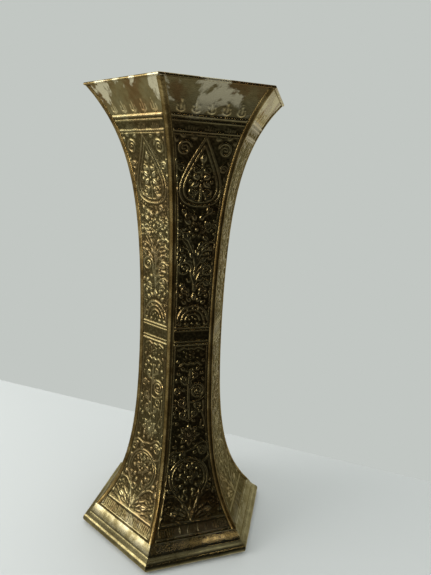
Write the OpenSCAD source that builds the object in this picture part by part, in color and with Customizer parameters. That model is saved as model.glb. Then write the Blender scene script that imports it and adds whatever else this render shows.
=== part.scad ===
// Hexagonal umbrella stand in embossed sheet brass: six curved side panels meet at soldered
// corners under rounded corner beads, stand in a mitred plinth, and are stiffened at the mouth
// by a wire rolled into the rim. A round drip pan stands loose on the base plate.
// Corners point along +X and -X, and the front panel faces -Y. Z = 0 is the face it stands on.

/* [Body] */
// Height from the floor to the top of the rolled rim
height = 610; // [560:5:660]
// Corner radius that the body would have with no flare
core_r = 57; // [55:1:70]
// How far the mouth flares out beyond the core, at the corners
mouth_flare = 76; // [60:1:85]
// Drop in height over which the mouth's flare shrinks by a factor of e
mouth_reach = 74; // [60:1:85]
// How far the foot of the panels flares out beyond the core, at the corners
foot_flare = 62; // [50:1:70]
// Rise in height over which the foot's flare shrinks by a factor of e
foot_reach = 66; // [55:1:75]
// Thickness of the panel sheet
sheet = 0.9; // [0.7:0.1:1.2]
// Gap left for solder on each side of a corner seam
seam = 0.15; // [0.05:0.05:0.3]

/* [Ribs] */
// Radius of the raised horizontal ribs that frame the ornament
rib_r = 1.2; // [0.8:0.1:1.6]
// Depth of the plain rim band, from the top down to the first rib
rim_band = 38; // [30:1:45]
// Height of the dark frieze between the two upper ribs
frieze = 15; // [10:1:20]
// Height of the middle of the waist band
waist_band_z = 298; // [280:1:320]
// Height of the waist band between its two ribs
waist_band = 24; // [16:1:30]
// Height of the fluted band between the plinth and the lowest rib
flute_band = 15; // [10:1:20]

/* [Rim] */
// Diameter of the steel stiffening wire
wire_d = 1.6; // [1.2:0.1:2]
// Radial clearance between the wire and the rolled edge
wire_gap = 0.05; // [0.02:0.01:0.1]

/* [Corner beads] */
// Half of the width of a corner bead, square to the corner
bead_half = 4.5; // [3:0.5:6]
// Height of a bead's crown above the corner
bead_rise = 1.2; // [0.8:0.1:2]

/* [Plinth] */
// Height of the plinth's top ledge, where the panels stand
plinth_h = 29; // [25:1:35]
// Radius of the rounded base moulding
torus_r = 7.2; // [5:0.2:8]
// Thickness of the plinth sheet
plinth_sheet = 1.2; // [1:0.1:1.6]
// Thickness of the base plate
plate_t = 1; // [0.8:0.1:2]

/* [Drip pan] */
// Outer radius of the pan's wall
pan_r = 45; // [38:0.5:46]
// Height of the pan
pan_h = 30; // [20:1:40]
// Thickness of the pan's sheet
pan_sheet = 0.8; // [0.6:0.1:1]
// Radius of the bead round the pan's lip
lip_r = 1.4; // [1:0.1:1.5]

/* [Hidden] */
SIDES = ["front_right", "back_right", "back", "back_left", "front_left", "front"];
CORNERS = ["right", "back_right", "back_left", "left", "front_left", "front_right"];

brass_panel = [0.45, 0.38, 0.20];
brass_bead = [0.50, 0.34, 0.13];
brass_plinth = [0.62, 0.50, 0.25];
steel = [0.55, 0.56, 0.57];
tin = [0.66, 0.67, 0.68];

flat = cos(30);                             // a hexagon's flat distance, per unit of corner radius
side_w = 300;                               // length that clears every side before it is mitred
stations = 44;                              // straight steps along the curve of a panel
rib_end = 0.3;                              // gap between the end of a rib and a corner bead
rib_heights = [
    height - rim_band,
    height - rim_band - frieze,
    waist_band_z + waist_band / 2,
    waist_band_z - waist_band / 2,
    plinth_h + flute_band
];
bore_r = wire_d / 2 + wire_gap;             // radius of the hollow that holds the rim wire
roll_r = bore_r + 0.8;                      // outer radius of the rim's rolled edge
roll_out = 0.6;                             // how far the wire's centre lies outside the sheet's face
roll_z = height - roll_r;                   // height of the wire's centre
foot_a = flat * (core_r + foot_flare);      // flat distance of the panels' foot
ledge_out = foot_a + 1.7;                   // outer edge of the plinth's top ledge
ledge_in = foot_a - 7;                      // inner edge of that ledge
band_foot = [ledge_out + 6.6, 18.7];        // lower edge of the plinth's sloping band
groove = 0.8;                               // how far the groove's floor lies outside that edge
torus_a = band_foot[0] + 2.8;               // flat distance of the base moulding's centre
plate_a = torus_a - 1.2;                    // flat distance of the base plate's edge
turned_in = 10;                             // width of the foot flange that holds the base plate
plate_z = plinth_sheet;                     // underside of the base plate
pan_z = plate_z + plate_t;                  // underside of the drip pan
pan_corner = 4;                             // radius round the pan's lower edge
bead_edge = 0.3;                            // thickness of a corner bead at its two edges
bead_top = height - 2 * roll_r - 0.5;       // upper end of the corner beads
bead_lift = 0.05;                           // solder film under a corner bead

// Corner radius of the sheet at a height
function corner_r(z) = core_r
    + mouth_flare * exp((z - height) / mouth_reach)
    + foot_flare * exp((plinth_h - z) / foot_reach);

// How fast the corner radius grows with height
function corner_slope(z) =
    mouth_flare / mouth_reach * exp((z - height) / mouth_reach)
    - foot_flare / foot_reach * exp((plinth_h - z) / foot_reach);

// A point on a panel's centreline section, depth mm in from its outer face
function panel_point(z, depth) =
    let (slope = flat * corner_slope(z), run = norm([1, slope]))
    [flat * corner_r(z) - depth / run, z + depth * slope / run];

// Centre of the rim wire, as distance out and height
function wire_point() =
    [flat * corner_r(roll_z) + roll_out * norm([1, flat * corner_slope(roll_z)]), roll_z];

// Turns a shape drawn square to +X to face the way that side i faces
module on_side(i) rotate([0, 0, 60 * i - 30]) children();

// The slice of space that belongs to one side, gap mm clear of the two mitre planes
module mitre_wedge(z0, z1, gap) {
    translate([gap / sin(30), 0, z0])
        linear_extrude(z1 - z0)
            polygon([[0, 0], [side_w, -side_w * tan(30)], [side_w, side_w * tan(30)]]);
}

// Draws a section, given as distance out and height, along the whole of one side
module along_side(width) {
    translate([0, width / 2, 0])
        rotate([90, 0, 0])
            linear_extrude(width)
                children();
}

// Outline of the sheet between two depths under its outer face
module sheet_band(from, to) {
    low = plinth_h - 2;
    rise = roll_z - low;
    outer = [for (i = [0:stations]) panel_point(low + rise * i / stations, from)];
    inner = [for (i = [stations:-1:0]) panel_point(low + rise * i / stations, to)];
    polygon(concat(outer, inner));
}

// Section of a panel: the curved sheet and its top edge, rolled round the rim wire
module panel_section() {
    difference() {
        union() {
            sheet_band(0, sheet);
            translate(wire_point()) circle(r = roll_r, $fn = 48);
        }
        translate(wire_point()) circle(r = bore_r, $fn = 32);
    }
}

// Section of the raised ribs that frame the bands of ornament
module rib_section() {
    for (z = rib_heights)
        intersection() {
            translate(panel_point(z, 0)) circle(r = rib_r, $fn = 32);
            sheet_band(-2 * rib_r, sheet / 2);
        }
}

module panel(i) {
    color(brass_panel)
        on_side(i) {
            intersection() {
                along_side(side_w) panel_section();
                mitre_wedge(plinth_h, height, seam);
            }
            intersection() {
                along_side(side_w) rib_section();
                mitre_wedge(plinth_h, height, bead_half + rib_end);
            }
        }
}

// Level ring of points round a corner bead at a height: along the two faces that it covers,
// then back over its crown
function bead_ring(z) =
    let (
        r = corner_r(z) + bead_lift,
        tilt = norm([1, corner_slope(z)]),
        drop = tan(30) * bead_half,
        crown = bead_rise * tilt,
        edge = bead_edge * tilt
    )
    concat(
        [[r - drop, -bead_half, z], [r, 0, z], [r - drop, bead_half, z]],
        [for (t = [1, 0.75, 0.5, 0.25, 0, -0.25, -0.5, -0.75, -1])
            [r + crown - (crown + drop - edge) * t * t, bead_half * t, z]]
    );

module corner_bead(i) {
    steps = stations;
    rise = bead_top - plinth_h;
    rings = [for (k = [0:steps]) bead_ring(plinth_h + rise * k / steps)];
    n = len(rings[0]);
    sides = [
        for (k = [0:steps - 1], j = [0:n - 1])
            let (a = k * n + j, b = k * n + (j + 1) % n)
            [a, a + n, b + n, b]
    ];
    bottom = [for (j = [0:n - 1]) j];
    top = [for (j = [n - 1:-1:0]) steps * n + j];
    color(brass_bead)
        rotate([0, 0, 60 * i])
            polyhedron([for (ring = rings, p = ring) p], concat(sides, [bottom, top]));
}

// Outline of the formed plinth sheet, skin mm under its outer face: a top ledge, a sloping
// band, a groove, the rounded base moulding and a flange turned in under the base plate
function plinth_line(skin) = concat(
    [
        [ledge_in, plinth_h - skin],
        [ledge_out - skin / 2, plinth_h - skin],
        band_foot - [skin, skin / 2],
        band_foot + [groove - skin, -2.6 - skin / 2]
    ],
    [for (t = [80:-10:-90]) [torus_a, torus_r] + (torus_r - skin) * [cos(t), sin(t)]],
    [[torus_a - turned_in, skin]]
);

module plinth_section() {
    inner = plinth_line(plinth_sheet);
    polygon(concat(plinth_line(0), [for (i = [len(inner) - 1:-1:0]) inner[i]]));
}

module plinth(i) {
    color(brass_plinth)
        on_side(i)
            intersection() {
                along_side(side_w) plinth_section();
                mitre_wedge(0, plinth_h, seam);
            }
}

// Hexagonal ring of round wire inside the rolled rim
module rim_wire() {
    color(steel)
        rotate_extrude($fn = 6)
            translate([wire_point()[0] / flat, roll_z])
                scale([1 / flat, 1])
                    circle(d = wire_d, $fn = 20);
}

module base_plate() {
    color(brass_plinth)
        translate([0, 0, plate_z])
            cylinder(r = plate_a / flat, h = plate_t, $fn = 6);
}

// Filled outline of the pan's half section, skin mm inside its outer face
module pan_half(skin, top) {
    w = pan_r - skin;
    c = pan_corner - skin;
    translate([0, skin]) square([w - c, top - skin]);
    translate([0, pan_corner]) square([w, top - pan_corner]);
    translate([pan_r - pan_corner, pan_corner]) circle(r = c, $fn = 48);
}

module drip_pan() {
    color(tin)
        translate([0, 0, pan_z])
            rotate_extrude($fn = 96)
                difference() {
                    union() {
                        pan_half(0, pan_h - lip_r);
                        translate([pan_r, pan_h - lip_r])
                            circle(r = lip_r, $fn = 32);
                    }
                    pan_half(pan_sheet, pan_h + 1);
                }
}

for (i = [0:5]) {
    panel(i);
    corner_bead(i);
    plinth(i);
}
rim_wire();
base_plate();
drip_pan();
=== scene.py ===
# %% [markdown]
# # A hexagonal umbrella stand in embossed brass
# Six curved sides are pressed from thin sheet brass, joined under rounded corner beads, and
# stood in a moulded plinth. A loose tinned pan inside catches the drips.
#
# The engineering model comes first. It fixes every size and place, and the pieces made
# below are only better looking versions of the solids in it. Everything is in metres.

# %% Load the frame
import math

import bmesh
import bpy
import numpy as np
from mathutils import Matrix, Vector


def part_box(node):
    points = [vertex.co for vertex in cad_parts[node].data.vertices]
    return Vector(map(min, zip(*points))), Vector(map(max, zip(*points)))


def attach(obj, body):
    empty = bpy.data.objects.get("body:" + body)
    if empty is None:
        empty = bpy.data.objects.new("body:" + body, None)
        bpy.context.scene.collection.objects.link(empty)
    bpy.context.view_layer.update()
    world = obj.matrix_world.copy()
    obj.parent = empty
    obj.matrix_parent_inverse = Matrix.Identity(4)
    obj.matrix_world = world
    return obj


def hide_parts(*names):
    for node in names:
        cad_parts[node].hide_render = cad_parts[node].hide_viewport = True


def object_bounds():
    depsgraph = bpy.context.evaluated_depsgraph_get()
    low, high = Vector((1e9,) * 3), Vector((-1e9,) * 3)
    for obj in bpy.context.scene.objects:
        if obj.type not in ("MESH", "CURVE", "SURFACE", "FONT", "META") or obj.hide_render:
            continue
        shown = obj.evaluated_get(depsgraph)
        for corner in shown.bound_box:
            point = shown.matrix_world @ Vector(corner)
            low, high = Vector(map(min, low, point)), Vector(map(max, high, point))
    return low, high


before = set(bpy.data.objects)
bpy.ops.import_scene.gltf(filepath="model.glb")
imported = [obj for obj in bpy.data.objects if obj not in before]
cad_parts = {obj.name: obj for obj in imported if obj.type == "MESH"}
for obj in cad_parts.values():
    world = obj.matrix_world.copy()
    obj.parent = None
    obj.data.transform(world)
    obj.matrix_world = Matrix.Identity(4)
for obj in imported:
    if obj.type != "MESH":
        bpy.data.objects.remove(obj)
cad_low, cad_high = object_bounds()
MM = 0.001
SIDES = ["front_right", "back_right", "back", "back_left", "front_left", "front"]
CORNERS = ["right", "back_right", "back_left", "left", "front_left", "front_right"]

# %% [markdown]
# ## The camera
# The camera stands a little above the rim, two thirds of a metre away, and looks down and
# to the right, so three sides show: one full on, one in the light and a sliver of a third.
# A camera could be aimed with a Track To constraint, but a turn built from three angles
# keeps the slight tilt that a hand-held camera has.

# %% Camera
def put(name, data):
    """A new object that holds the data, linked to the scene."""
    piece = bpy.data.objects.new(name, data)
    bpy.context.scene.collection.objects.link(piece)
    return piece


CAMERA_PLACE = (-0.17445, -0.64014, 0.50674)
CAMERA_HEADING = math.radians(19.15)
CAMERA_PITCH = math.radians(-12.87)
CAMERA_ROLL = math.radians(3.02)
LENS_MM = 30.15

camera_data = bpy.data.cameras.new("hall_camera")
camera_data.lens = LENS_MM
camera_data.sensor_width = 36.0
camera_data.clip_start = 0.02
camera = put("hall_camera", camera_data)
camera.location = CAMERA_PLACE
turn = Matrix.Rotation(-CAMERA_HEADING, 3, "Z")
turn = turn @ Matrix.Rotation(math.pi / 2 + CAMERA_PITCH, 3, "X")
turn = turn @ Matrix.Rotation(CAMERA_ROLL, 3, "Z")
camera.rotation_mode = "QUATERNION"
camera.rotation_quaternion = turn.to_quaternion()
bpy.context.scene.camera = camera
print("camera at", [round(v, 3) for v in camera.location])

# %% [markdown]
# ## Two helpers
# Node trees are drawn by hand in the editor or built by code. In code, each node needs its
# settings and its links, and that takes many lines, so one small function does both. It
# also places the stops of a colour ramp, which are settings of that node. A second
# function turns the usual hex colours, which are sRGB, into the linear values that
# Blender's sockets expect. The node types that come up most often get short names.

# %% Node and colour helpers
MATH, RANGE, MIX = "ShaderNodeMath", "ShaderNodeMapRange", "ShaderNodeMix"
NOISE, RAMP, JOIN = "ShaderNodeTexNoise", "ShaderNodeValToRGB", "ShaderNodeCombineXYZ"
BSDF, SURFACE = "ShaderNodeBsdfPrincipled", "ShaderNodeOutputMaterial"


def add(tree, kind, links=None, stops=(), **settings):
    """Adds a node, sets its properties, and feeds its sockets with values or other nodes.

    The stops of a colour ramp are pairs of a position and a hex colour.
    """
    node = tree.nodes.new(kind)
    for name, value in settings.items():
        setattr(node, name, value)
    for k, (position, code) in enumerate(stops):
        bar = node.color_ramp.elements
        if k == len(bar):
            bar.new(1.0)
        bar[k].position = position
        bar[k].color = srgb(code)
    for socket, value in (links or {}).items():
        if isinstance(value, bpy.types.Node):
            value = value.outputs[0]
        if isinstance(value, bpy.types.NodeSocket):
            tree.links.new(value, node.inputs[socket])
        else:
            node.inputs[socket].default_value = value
    return node


def srgb(code):
    """Linear RGBA for a colour written as #rrggbb."""
    parts = [int(code[i:i + 2], 16) / 255 for i in (1, 3, 5)]
    return [c / 12.92 if c <= 0.04045 else ((c + 0.055) / 1.055) ** 2.4 for c in parts] + [1.0]


print("brass in linear light:", [round(c, 3) for c in srgb("#b5a15a")])

# %% [markdown]
# ## The flare
# Every side follows one curve: a straight core that swells towards the mouth and the foot.
# Each swelling dies away by a fixed share per millimetre, which is what sheet metal does
# when it is drawn over a bell-shaped former. The height is read from the frame, and the
# same formula is needed twice: here as a function, and later as a node group.

# %% Shape of the body
TAN30 = math.tan(math.radians(30))
FLAT = math.cos(math.radians(30))
CORE = 57 * MM
MOUTH_FLARE, MOUTH_REACH = 76 * MM, 74 * MM
FOOT_FLARE, FOOT_REACH = 62 * MM, 66 * MM
SHEET = 0.9 * MM
SEAM = 0.15 * MM
TOP = cad_high.z
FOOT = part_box("corner_bead_right")[0].z
wire_low, wire_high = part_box("rim_wire")
WIRE_R = (wire_high.z - wire_low.z) / 2
WIRE_OUT, WIRE_Z = wire_high.y - WIRE_R, wire_high.z - WIRE_R


def corner_r(z):
    """Corner radius of the sheet at a height."""
    return (CORE + MOUTH_FLARE * math.exp((z - TOP) / MOUTH_REACH)
            + FOOT_FLARE * math.exp((FOOT - z) / FOOT_REACH))


def flat_slope(z):
    """How fast a side moves out as it rises."""
    return FLAT * (MOUTH_FLARE / MOUTH_REACH * math.exp((z - TOP) / MOUTH_REACH)
                   - FOOT_FLARE / FOOT_REACH * math.exp((FOOT - z) / FOOT_REACH))


def half_width(z):
    """Half of a side's width, from its centre line to the corner, in millimetres."""
    return FLAT * corner_r(z * MM) * TAN30 / MM


print("rim", round(2000 * FLAT * corner_r(TOP)), "mm across,",
      "waist", round(2000 * FLAT * corner_r(0.3)), "mm")

# %% [markdown]
# ## Drawing the die
# The ornament is pressed into each flat sheet by a steel die before the sheet is bent. So
# it is drawn flat too, in millimetres: across the side from its centre line, and up from
# the floor. It could be sculpted or painted as a height map, but a drawing made of a few
# named strokes keeps its edges crisp and can be changed by hand.
#
# The pen has three marks. A stroke is a raised wire that tapers, a shape is a raised
# cushion inside an outline, and a cut is a fine groove. Directions are given as a lean, an
# angle from upright, so that a mark is mirrored by changing the sign of its lean and of
# its distance across. Wires and leaves are made fuller than they are drawn, each by its
# own share, because the press rounds off their edges.

# %% Pen for the die
FULLER_WIRE, FULLER_LEAF = 1.25, 1.4
strokes, shapes, cuts = [], [], []


def heading(lean):
    """How far across and how far up one step at a lean goes."""
    return math.sin(math.radians(lean)), math.cos(math.radians(lean))


def smooth_line(points, step=0.7):
    """Points along a smooth curve through the given ones (a Catmull-Rom spline)."""
    p = np.array(points, float)
    if len(p) == 2:
        n = max(2, int(np.linalg.norm(p[1] - p[0]) / step))
        return p[0] + (p[1] - p[0]) * np.linspace(0, 1, n)[:, None]
    closed = np.allclose(p[0], p[-1])
    before = p[-2] if closed else 2 * p[0] - p[1]
    after = p[1] if closed else 2 * p[-1] - p[-2]
    q = np.vstack([before, p, after])
    line = []
    for a, b, c, d in zip(q, q[1:], q[2:], q[3:]):
        n = max(2, int(np.linalg.norm(c - b) / step))
        t = np.linspace(0, 1, n, endpoint=False)[:, None]
        line.append(b + t * (c - a) / 2 + t**2 * (2 * a - 5 * b + 4 * c - d) / 2
                    + t**3 * (3 * b - a - 3 * c + d) / 2)
    return np.vstack(line + [p[-1:]])


def stroke(points, wide=0.9, tip=None):
    """A raised wire, wide mm to each side at its start and tip mm at its end."""
    line = smooth_line(points)
    tip = wide if tip is None else tip
    strokes.append((line, np.linspace(FULLER_WIRE * wide, FULLER_WIRE * tip, len(line))))


def both(points, wide=0.9, tip=None):
    """A stroke and its mirror image."""
    stroke(points, wide, tip)
    stroke([(-x, z) for x, z in points], wide, tip)


def leaf(x, z, lean, length, wide):
    """A pointed leaf from its root at x, z, with a groove down its middle."""
    length, wide = FULLER_LEAF * length, FULLER_LEAF * wide
    u = np.linspace(0, 1, 9)
    out = wide / 2 * np.sin(np.pi * u**0.8) * (1 + 0.3 * np.sin(2 * np.pi * u))
    along, aside = np.concatenate([u, u[-2:0:-1]]) * length, np.concatenate([out, -out[-2:0:-1]])
    s, c = heading(lean)
    shapes.append(np.column_stack([x + along * s + aside * c, z + along * c - aside * s]))
    root, end = 0.12 * length, 0.8 * length
    cuts.append(smooth_line([(x + root * s, z + root * c), (x + end * s, z + end * c)]))


def boss(x, z, r):
    """A small raised pearl."""
    turn = np.linspace(0, 2 * np.pi, 12, endpoint=False)
    shapes.append(np.column_stack([x + r * np.cos(turn), z + r * np.sin(turn)]))


def arc(x, z, r, start, end, shrink=1.0):
    """Points on an arc or spiral; start and end are leans, and shrink is its last radius."""
    turn = np.radians(np.linspace(start, end, max(4, int(abs(end - start) / 25))))
    radii = r * np.linspace(1, shrink, len(turn))
    return list(zip(x + radii * np.sin(turn), z + radii * np.cos(turn)))


def ring(x, z, r, wide=0.8):
    """A raised hoop."""
    stroke(arc(x, z, r, 0, 360), wide)


def volute(x, z, r, start, turns, wide=1.3, tip=0.8):
    """A scroll that winds in from lean start to a pearl; negative turns wind the other way."""
    stroke(arc(x, z, r, start, start + 360 * turns, 0.3), wide, tip)
    boss(x, z, max(1.2, 0.2 * r))


def flower(x, z, r, petals, turn=0):
    """Petals round a raised eye."""
    for k in range(petals):
        lean = turn + 360 * k / petals
        s, c = heading(lean)
        leaf(x + 0.3 * r * s, z + 0.3 * r * c, lean, 0.72 * r, 0.5 * r if petals > 6 else 0.66 * r)
    boss(x, z, 0.27 * r)


def leaves(*marks, shift=0.0, drop=0.0):
    """Leaves and their mirror images, which may sit shift mm further left and drop mm lower."""
    for x, z, lean, length, wide in marks:
        leaf(x, z, lean, length, wide)
        leaf(-x - shift, z - drop, -lean, length, wide)


def volutes(x, z, r, start, turns, wide=1.3, tip=0.8):
    """A scroll and its mirror image."""
    volute(x, z, r, start, turns, wide, tip)
    volute(-x, z, r, -start, -turns, wide, tip)


def tendril(x, z, r, side):
    """A side shoot of the vine at x: it leaves the stem, curls into a scroll and bears leaves."""
    stroke([(x, z - 1.9 * r), (x + 0.6 * r * side, z - 1.5 * r),
            (x + 1.2 * r * side, z - 1.05 * r)], 1.0, 1.0)
    volute(x + 1.5 * r * side, z, r, 197 * side, -1.5 * side, 1.1, 0.7)
    for lean in (150, 95, 45, 0):
        s, c = heading(lean * side)
        leaf(x + (1.5 * side + 1.05 * s) * r, z + 1.05 * r * c, lean * side, 0.62 * r, 0.45 * r)


print("the pen is ready:", ", ".join(f.__name__ for f in (stroke, leaf, boss, volute, flower)))

# %% [markdown]
# ### Bands and borders
# Plain raised rules divide each side into a rim, a frieze, an upper field, a waist band, a
# lower field and a foot with short reeds. A border line follows the curved corner. Small
# stamped marks stand on the rim and in the frieze. All of these are loops, because they
# repeat or follow the flare.

# %% Rules, borders, reeds and stamps
BEAD_HALF = 5.2                              # width that a corner bead hides, along the side
REED_PITCH, REED_GAP = 3.6, 30               # every reed past the gap, and one in three before it
RULES = [(572.5, 1.2), (567.8, 0.8), (557, 1.2), (553.8, 0.7), (310.5, 1.2), (306.3, 0.8),
         (291.2, 0.8), (286.5, 1.2), (43.5, 1.5), (30.6, 0.8)]
for z, wide in RULES:
    reach = half_width(z) - BEAD_HALF - 1.0
    stroke([(-reach, z), (0, z), (reach, z)], wide)

for low, high in [(45, 284), (313, 552)]:
    heights = np.linspace(low, high, 14)
    both([(half_width(z) - BEAD_HALF - 2.4, z) for z in heights], 0.5)

for k, x in enumerate(np.arange(REED_PITCH, half_width(36) - BEAD_HALF - 2, REED_PITCH)):
    if x > REED_GAP or k % 3 == 1:
        both([(x, 32.6), (x, 40.4)], 0.55)

for x in (-36, -18, 0, 18, 36):
    stroke([(x, 576.5), (x + 0.6, 582), (x, 589)], 0.6, 0.3)
    for side in (-1, 1):
        stroke([(x + side, 577), (x + 4.2 * side, 579), (x + 3.6 * side, 584)], 0.5, 0.3)

for x in (-26, -3, 21):
    for k in range(5):
        stroke([(x + 2.9 * k, 559.2), (x + 2.9 * k + 0.5, 561.5 + 1.3 * (k % 2) + k % 3)], 0.7, 0.5)
print(len(strokes), "strokes so far")

# %% [markdown]
# ### The upper field
# At the top hangs a pointed drop of two wires, with a sprig inside and two scrolls in each
# corner beside it. Its outline is symmetrical, so only one half of it is drawn.

# %% Drop and corner scrolls
OUTER_DROP = [(0, 552.5), (-9, 536), (-18, 518), (-24.5, 501), (-25.5, 487), (-20, 476.5),
              (-9, 471.8), (0, 471.2)]
INNER_DROP = [(0, 543), (-7.5, 529), (-15, 513), (-20.2, 499), (-20.6, 488), (-16, 480.5),
              (-8, 476.8), (0, 476.2)]
both(OUTER_DROP, 0.95)
both(INNER_DROP, 0.8)
stroke([(0, 477), (0.6, 486), (0, 497)], 1.3, 0.9)
stroke([(0, 507), (-0.5, 516), (0, 524)], 1.1, 0.7)
boss(0, 502, 2.0)
leaf(0, 522, 0, 11, 5)
leaves((2, 503, 55, 12, 4.6), (2, 501, 125, 12, 4.6), (2, 510, 30, 9, 3.6), (3, 517, 55, 8, 3.2),
       (5, 478.5, 72, 11, 3.6), (2, 486, 50, 8, 3.4), (12, 497, 20, 7, 3), (13, 505, 10, 7, 3))
volutes(10.5, 487.5, 5.2, -150, 1.4, 1.0, 0.6)
volutes(7.2, 515.2, 3.6, 200, -1.2, 0.9, 0.6)

volutes(25, 538.5, 8.5, -70, 1.5, 1.3, 0.8)
volutes(26.5, 516.5, 5.2, 110, -1.4, 1.1, 0.7)
leaves((10, 550.5, 88, 9, 3.4), (24, 551, 75, 9, 3.4), (32.5, 527, 170, 8, 3.2), (30, 509, 180, 9, 3),
       (29.5, 494, 182, 8, 2.6), (34.5, 551, 165, 8, 3))
print("drop:", len(strokes), "strokes so far")

# %% [markdown]
# A string of pearls hangs under the drop, over an eight-petalled rosette between leaves.
# Here the foliage stops being symmetrical, as a growing plant does.

# %% Pearls and rosette
for k, x in enumerate((23, 19, 15, 11, 7)):
    boss(x, 473.5 - 2.9 * k + 0.25 * k * k, 1.5)
    boss(-x, 473.5 - 2.9 * k + 0.25 * k * k, 1.5)
flower(-1, 441.5, 10, 8, 20)
boss(-1, 441.5, 4.2)
leaves((3, 452, 22, 10, 4), (8, 448, 58, 11, 4.2), (10, 441, 92, 11, 4), (7, 434, 128, 10, 4),
       (16, 461, 40, 8, 3.4), (19, 452, 75, 6.5, 3), (20, 434, 60, 6.5, 3), (3, 463, 60, 7, 3))
volute(-13, 458, 4.2, 90, -1.3, 1.0, 0.6)
ring(22.5, 446.5, 2.6)
tendril(6, 447, 4.6, 1)
tendril(-8, 434, 4.0, -1)
tendril(8, 466, 3.8, 1)
print("rosette:", len(shapes), "shapes so far")

# %% [markdown]
# A branching stem grows from the waist and carries two large scrolls. It stands on a domed
# fan of three arches with short rays round it. Branches of one kind are drawn by a loop,
# one pair for each knot of the stem.

# %% Stem and fan
stroke([(0, 362), (-0.8, 380), (0.6, 397), (0, 414)], 1.7, 1.1)
stroke([(0, 396), (-3.5, 413), (-11, 428), (-19, 438), (-24, 441), (-25, 436)], 1.8, 0.8)
stroke([(0.8, 394), (5.5, 409), (12.5, 420.5), (19.5, 427), (24.5, 424), (24, 418)], 1.6, 0.8)
stroke([(-5, 407), (-12, 421), (-19, 430)], 0.8, 0.6)
for z in (374, 384, 394.5, 405, 415.5, 426):
    stroke([(2.5, z - 9), (7.5, z - 3), (15, z + 0.5), (25, z - 1.5)], 1.2, 0.6)
    stroke([(6, z - 4), (10, z - 6.5), (16, z - 5.5)], 0.8, 0.5)
for z in (407, 418, 429):
    stroke([(-5, z - 8), (-11, z - 2), (-18, z + 1), (-25, z - 1)], 0.9, 0.5)
volute(-14.5, 390.5, 10.5, 115, -1.45, 1.5, 0.9)
stroke([(-1, 372), (-4, 380), (-5.5, 387)], 1.4, 1.4)
volute(15.5, 388.5, 9.2, -115, 1.45, 1.4, 0.9)
stroke([(0, 370), (4, 378), (7, 386)], 1.3, 1.3)
leaves((3.5, 405, 18, 10, 3.6), (8, 399, 38, 10, 3.8), (12, 407, 55, 9, 4), (17, 401, 28, 9, 3.4),
       (17, 413, 25, 8, 3.4), (3, 418, 30, 9, 3.4), (11, 373, 120, 10, 3.8), (21, 375, 165, 9, 3.2),
       (4, 374, 50, 8, 3.2), (22.5, 402, 10, 7, 2.6), shift=0.5, drop=2)
volute(-21, 407, 3.6, -60, 1.2, 0.9, 0.6)
boss(-9.5, 412, 1.6)
volutes(12.5, 361, 5, -100, 1.4, 1.0, 0.7)

leaf(0, 347, 0, 11, 4.6)
leaves((3, 346, 48, 9, 3.6), (9, 343, 55, 9, 3.6), (15, 337, 62, 8, 3.2), (6, 353, 35, 8, 3.2),
       (15, 350, 25, 8, 3.2), (20.5, 345, 175, 8, 2.8), (4, 315.5, 90, 8, 3.2),
       (13, 315.5, 88, 8.5, 3.4), (20, 362, 150, 8, 3))
both([(21, 320.5), (17.5, 330.5), (10, 338.5), (0, 341.5)], 1.2)
both([(15.5, 320.5), (12.2, 328.5), (6.5, 334), (0, 335.8)], 0.9)
both([(10, 320.5), (7.5, 326), (3.5, 329), (0, 329.8)], 0.8)
for lean in range(-72, 73, 24):
    s, c = heading(lean)
    stroke([(17 * s, 320 + 16.5 * c), (19.5 * s, 320 + 20 * c)], 0.7)
for x, z in [(0, 324.5), (4.2, 322), (-4.2, 322), (0, 316)]:
    boss(x, z, 1.7)
print(len(strokes), "strokes and", len(shapes), "raised shapes so far")

# %% [markdown]
# ### The lower field
# Under the waist hangs a wavy swag over a flower. Below it one large scroll turns on the
# right of the stem, and feathery leaves fill its left.

# %% Swag and large scroll
both([(-17.5, 279), (-10, 282.5), (-4, 280.5), (0, 282)], 0.95)
flower(-1, 271.5, 6.6, 6)
both([(-15, 256.5), (-9, 261), (-4, 258.8), (0, 261.2)], 1.0)
for x, z, r in [(10, 277.5, 1.7), (16, 274, 1.4), (9.5, 267.5, 1.6), (4.5, 253.5, 1.5), (13, 239, 1.5),
                (3.5, 242.5, 1.3), (16.5, 252, 1.3)]:
    boss(x, z, r)
    boss(-x + 0.5, z - 1.0, r)
leaves((12, 271, 70, 8, 3.2), (14, 264, 105, 7, 3), (7, 249, 48, 9, 3.4), (12, 245, 85, 8, 3),
       (2, 247, 35, 8, 3.2), (17, 240, 160, 8, 2.8), (6, 237, 60, 9, 3.4))

stroke([(0, 250), (-1.2, 232), (-2, 214), (-1, 198), (0, 181)], 1.5, 1.0)
volute(10.5, 219.5, 11, -65, 1.9, 1.5, 0.9)
stroke([(-1, 236), (1.5, 229), (1, 224)], 1.2, 1.3)
stroke([(-2, 206), (4, 203.5), (12, 205.5), (19, 209.5)], 1.1, 0.7)
volute(-16.5, 220, 5.4, 40, -1.4, 1.1, 0.7)
for mark in [
        (-4, 228, -42, 9, 3.4), (-5, 221, -75, 8, 3.2), (-5, 213, -125, 11, 3.8), (-4, 205, -140, 11, 3.8),
        (-4, 197, -150, 11, 3.8), (-4, 188, -152, 11, 3.8), (-13, 209, -115, 9, 3.4),
        (-13, 199, -130, 9, 3.4), (-15, 189, -140, 9, 3.4), (-20, 205, -165, 8, 3), (-20, 193, -170, 8, 3),
        (3, 196, 140, 10, 3.6), (4, 187, 142, 9, 3.4), (10, 191, 110, 8, 3.2), (3, 179, 130, 8, 3.2)]:
    leaf(*mark)
for mark in [(-1, 237, 4.8, -1), (0, 243, 4.2, 1), (-2, 204, 5.6, -1), (-1, 186, 5.2, -1),
             (0, 187, 4.4, 1), (-2, 127, 4.6, -1)]:
    tendril(*mark)
ring(11.5, 198.5, 4.2, 1.0)
boss(11.5, 198.5, 1.5)
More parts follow.
